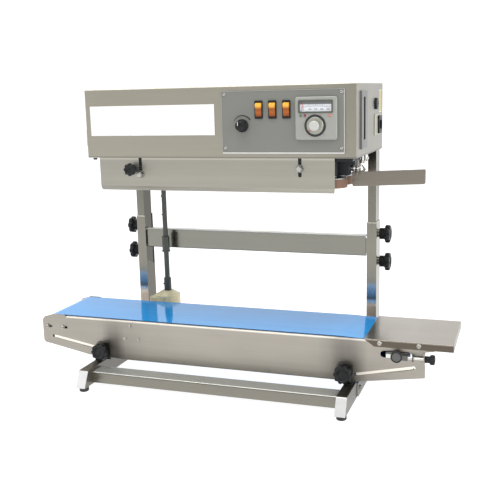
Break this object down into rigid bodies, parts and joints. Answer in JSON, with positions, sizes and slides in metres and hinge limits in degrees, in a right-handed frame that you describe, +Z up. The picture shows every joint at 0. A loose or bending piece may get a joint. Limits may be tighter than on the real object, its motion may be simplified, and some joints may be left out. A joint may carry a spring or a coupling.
{
  "type": "continuous band sealer",
  "caption": "Bench-top continuous band sealer: sealing head on telescopic posts above a belt conveyor with side clamps, infeed guide rail, extension table and control panel.",
  "frame": {"origin": "centre of the machine's footprint on the floor", "axes": "+X to the right along the conveyor, +Y from the operator's side to the back, +Z up"},
  "size_m": [0.803, 0.38, 0.557],
  "materials": {
    "stainless": "brushed stainless sheet",
    "side_sheet": "brushed stainless sheet, warm grey",
    "table_sheet": "brushed stainless sheet, glossier",
    "foot_rubber": "black moulded rubber",
    "black_knob": "black moulded plastic, satin gloss",
    "black_plastic": "black moulded plastic",
    "blue_belt": "glossy blue conveyor belting",
    "roller_steel": "turned steel",
    "cast_flange": "cast bearing flange",
    "zinc_steel": "zinc-plated steel",
    "gearbox_cast": "cream-olive painted casting",
    "shaft_steel": "dark steel shaft",
    "head_paint": "brushed stainless casing, warm grey",
    "panel_sheet": "grey control panel",
    "label_white": "blank white label plate",
    "amber_plastic": "amber translucent rocker",
    "controller_plastic": "light grey moulded bezel",
    "dial_plastic": "silver dial skirt with white cap",
    "motor_aluminium": "cast motor body",
    "board_green": "circuit board with components",
    "frame_aluminium": "dark machined frame",
    "wheel_aluminium": "turned wheel",
    "ptfe_band": "brown coated sealing band",
    "block_brass": "machined block",
    "bright_nut": "bright plated nut"
  },
  "bodies": {
    "base": {"leg_channels": "stainless", "rubber_feet": "foot_rubber", "cross_rails": "stainless", "outer_posts": "stainless", "post_base_brackets": "stainless", "clamp_brackets": "stainless"},
    "head": {"inner_posts": "stainless", "post_crossbar": "stainless", "head_casing": "head_paint", "head_base_plate": "zinc_steel", "control_panel": "panel_sheet", "label_plates": "label_white", "switch_bodies": "black_plastic", "temperature_controller": "controller_plastic", "mains_inlet": "black_plastic", "fuse_holder": "black_plastic", "vent_plate": "stainless", "gear_motor": "motor_aluminium", "circuit_board": "board_green", "seal_frame": "frame_aluminium", "seal_bands": "ptfe_band", "seal_blocks": "block_brass", "guide_rails": "stainless", "cover_nuts": "bright_nut"},
    "conveyor": {"side_plate_front": "side_sheet", "side_plate_rear": "side_sheet", "slider_bed": "stainless", "conveyor_belt": "blue_belt", "bearing_flanges": "cast_flange", "tie_rods": "zinc_steel", "conveyor_screws": "zinc_steel", "extension_table": "table_sheet", "gearbox_housing": "gearbox_cast"},
    "takeup_carriage": {"takeup_carriage": "zinc_steel"},
    "front_cover": {"front_cover": "stainless"},
    "band_wheel_front_left": {"band_wheel_front_left": "wheel_aluminium"},
    "band_wheel_front_right": {"band_wheel_front_right": "wheel_aluminium"},
    "band_wheel_rear_left": {"band_wheel_rear_left": "wheel_aluminium"},
    "band_wheel_rear_right": {"band_wheel_rear_right": "wheel_aluminium"},
    "clamp_knob_left": {"clamp_knob_left": "black_knob"},
    "clamp_knob_right": {"clamp_knob_right": "black_knob"},
    "drive_roller": {"drive_roller": "roller_steel"},
    "lower_drive_shaft": {"lower_drive_shaft": "shaft_steel"},
    "pinch_roller": {"pinch_roller": "roller_steel"},
    "post_knob_left_lower": {"post_knob_left_lower": "black_knob"},
    "post_knob_left_upper": {"post_knob_left_upper": "black_knob"},
    "post_knob_right_lower": {"post_knob_right_lower": "black_knob"},
    "post_knob_right_upper": {"post_knob_right_upper": "black_knob"},
    "press_wheel_front": {"press_wheel_front": "roller_steel"},
    "press_wheel_rear": {"press_wheel_rear": "roller_steel"},
    "pressure_knob": {"pressure_knob": "black_knob"},
    "rocker_1": {"rocker_1": "amber_plastic"},
    "rocker_2": {"rocker_2": "amber_plastic"},
    "rocker_3": {"rocker_3": "amber_plastic"},
    "speed_knob": {"speed_knob": "black_knob"},
    "tail_roller_left": {"tail_roller_left": "roller_steel"},
    "tail_roller_right": {"tail_roller_right": "roller_steel"},
    "takeup_knob": {"takeup_knob": "black_knob"},
    "temperature_dial": {"temperature_dial": "dial_plastic"},
    "upper_drive_shaft": {"upper_drive_shaft": "shaft_steel"}
  },
  "joints": [
    {"name": "head_height", "type": "slide", "parent": "base", "child": "head", "axis": [0, 0, 1], "range_m": [-0.015, 0.045]},
    {"name": "conveyor_height", "type": "slide", "parent": "base", "child": "conveyor", "axis": [0, 0, 1], "range_m": [0, 0.008]},
    {"name": "post_knob_left_upper_turn", "type": "hinge", "parent": "base", "child": "post_knob_left_upper", "pos_m": [-0.2815, 0.11, 0.27], "axis": [1, 0, 0], "range_deg": [-720, 0]},
    {"name": "post_knob_left_lower_turn", "type": "hinge", "parent": "base", "child": "post_knob_left_lower", "pos_m": [-0.2815, 0.11, 0.215], "axis": [1, 0, 0], "range_deg": [-720, 0]},
    {"name": "post_knob_right_upper_turn", "type": "hinge", "parent": "base", "child": "post_knob_right_upper", "pos_m": [0.2385, 0.11, 0.27], "axis": [1, 0, 0], "range_deg": [-720, 0]},
    {"name": "post_knob_right_lower_turn", "type": "hinge", "parent": "base", "child": "post_knob_right_lower", "pos_m": [0.2385, 0.11, 0.215], "axis": [1, 0, 0], "range_deg": [-720, 0]},
    {"name": "clamp_knob_left_turn", "type": "hinge", "parent": "conveyor", "child": "clamp_knob_left", "pos_m": [-0.2655, -0.11, 0.0572], "axis": [0, 1, 0], "range_deg": [0, 720]},
    {"name": "clamp_knob_right_turn", "type": "hinge", "parent": "conveyor", "child": "clamp_knob_right", "pos_m": [0.2155, -0.11, 0.0572], "axis": [0, 1, 0], "range_deg": [0, 720]},
    {"name": "takeup_knob_turn", "type": "hinge", "parent": "conveyor", "child": "takeup_knob", "pos_m": [0.36, -0.106, 0.094], "axis": [1, 0, 0], "range_deg": [-1080, 0]},
    {"name": "takeup_travel", "type": "slide", "parent": "conveyor", "child": "takeup_carriage", "axis": [1, 0, 0], "range_m": [-0.003, 0]},
    {"name": "drive_spin", "type": "hinge", "parent": "conveyor", "child": "drive_roller", "pos_m": [-0.2045, -0.0265, 0.092], "axis": [0, 1, 0], "continuous": true},
    {"name": "lower_shaft_spin", "type": "hinge", "parent": "conveyor", "child": "lower_drive_shaft", "pos_m": [-0.2045, 0.074, 0.092], "axis": [0, 0, 1], "continuous": true},
    {"name": "upper_shaft_spin", "type": "hinge", "parent": "head", "child": "upper_drive_shaft", "pos_m": [-0.2045, 0.074, 0.4], "axis": [0, 0, 1], "continuous": true},
    {"name": "tail_left_spin", "type": "hinge", "parent": "conveyor", "child": "tail_roller_left", "pos_m": [-0.3735, -0.0265, 0.0955], "axis": [0, 1, 0], "continuous": true},
    {"name": "tail_right_spin", "type": "hinge", "parent": "takeup_carriage", "child": "tail_roller_right", "pos_m": [0.307, -0.0265, 0.095], "axis": [0, 1, 0], "continuous": true},
    {"name": "pinch_spin", "type": "hinge", "parent": "conveyor", "child": "pinch_roller", "pos_m": [-0.2045, -0.0265, 0.0588], "axis": [0, 1, 0], "continuous": true},
    {"name": "band_front_left_spin", "type": "hinge", "parent": "head", "child": "band_wheel_front_left", "pos_m": [-0.22, -0.0554, 0.39], "axis": [0, 0, 1], "continuous": true},
    {"name": "band_front_right_spin", "type": "hinge", "parent": "head", "child": "band_wheel_front_right", "pos_m": [0.183, -0.0554, 0.39], "axis": [0, 0, 1], "continuous": true},
    {"name": "band_rear_left_spin", "type": "hinge", "parent": "head", "child": "band_wheel_rear_left", "pos_m": [-0.22, -0.0006, 0.39], "axis": [0, 0, 1], "continuous": true},
    {"name": "band_rear_right_spin", "type": "hinge", "parent": "head", "child": "band_wheel_rear_right", "pos_m": [0.183, -0.0006, 0.39], "axis": [0, 0, 1], "continuous": true},
    {"name": "press_front_spin", "type": "hinge", "parent": "head", "child": "press_wheel_front", "pos_m": [-0.165, -0.0494, 0.39], "axis": [0, 0, 1], "continuous": true},
    {"name": "press_rear_spin", "type": "hinge", "parent": "head", "child": "press_wheel_rear", "pos_m": [-0.165, -0.0066, 0.39], "axis": [0, 0, 1], "continuous": true},
    {"name": "cover_height", "type": "slide", "parent": "head", "child": "front_cover", "axis": [0, 0, 1], "range_m": [-0.015, 0]},
    {"name": "pressure_knob_turn", "type": "hinge", "parent": "front_cover", "child": "pressure_knob", "pos_m": [-0.186, -0.095, 0.4112], "axis": [0, 1, 0], "range_deg": [-360, 360]},
    {"name": "speed_turn", "type": "hinge", "parent": "head", "child": "speed_knob", "pos_m": [0.0331, -0.1, 0.4886], "axis": [0, 1, 0], "range_deg": [-10, 260]},
    {"name": "temperature_turn", "type": "hinge", "parent": "head", "child": "temperature_dial", "pos_m": [0.1649, -0.102, 0.4876], "axis": [0, 1, 0], "range_deg": [-10, 260]},
    {"name": "rocker_1_tilt", "type": "hinge", "parent": "head", "child": "rocker_1", "pos_m": [0.0638, -0.093, 0.5155], "axis": [1, 0, 0], "range_deg": [-14, 0]},
    {"name": "rocker_2_tilt", "type": "hinge", "parent": "head", "child": "rocker_2", "pos_m": [0.0886, -0.093, 0.5155], "axis": [1, 0, 0], "range_deg": [-14, 0]},
    {"name": "rocker_3_tilt", "type": "hinge", "parent": "head", "child": "rocker_3", "pos_m": [0.1136, -0.093, 0.5155], "axis": [1, 0, 0], "range_deg": [-14, 0]}
  ],
  "couplings": [
    {"joint": "lower_shaft_spin", "follows": "drive_spin", "ratio": 1},
    {"joint": "upper_shaft_spin", "follows": "drive_spin", "ratio": 1},
    {"joint": "tail_left_spin", "follows": "drive_spin", "ratio": 0.90417},
    {"joint": "tail_right_spin", "follows": "drive_spin", "ratio": 1.085},
    {"joint": "pinch_spin", "follows": "drive_spin", "ratio": -2.17},
    {"joint": "band_front_left_spin", "follows": "drive_spin", "ratio": -0.81273},
    {"joint": "band_front_right_spin", "follows": "drive_spin", "ratio": -0.81273},
    {"joint": "band_rear_left_spin", "follows": "drive_spin", "ratio": 0.81273},
    {"joint": "band_rear_right_spin", "follows": "drive_spin", "ratio": 0.81273},
    {"joint": "press_front_spin", "follows": "drive_spin", "ratio": -1.069},
    {"joint": "press_rear_spin", "follows": "drive_spin", "ratio": 1.069},
    {"joint": "takeup_knob_turn", "follows": "takeup_travel", "rad_per_m": 6283.2}
  ]
}
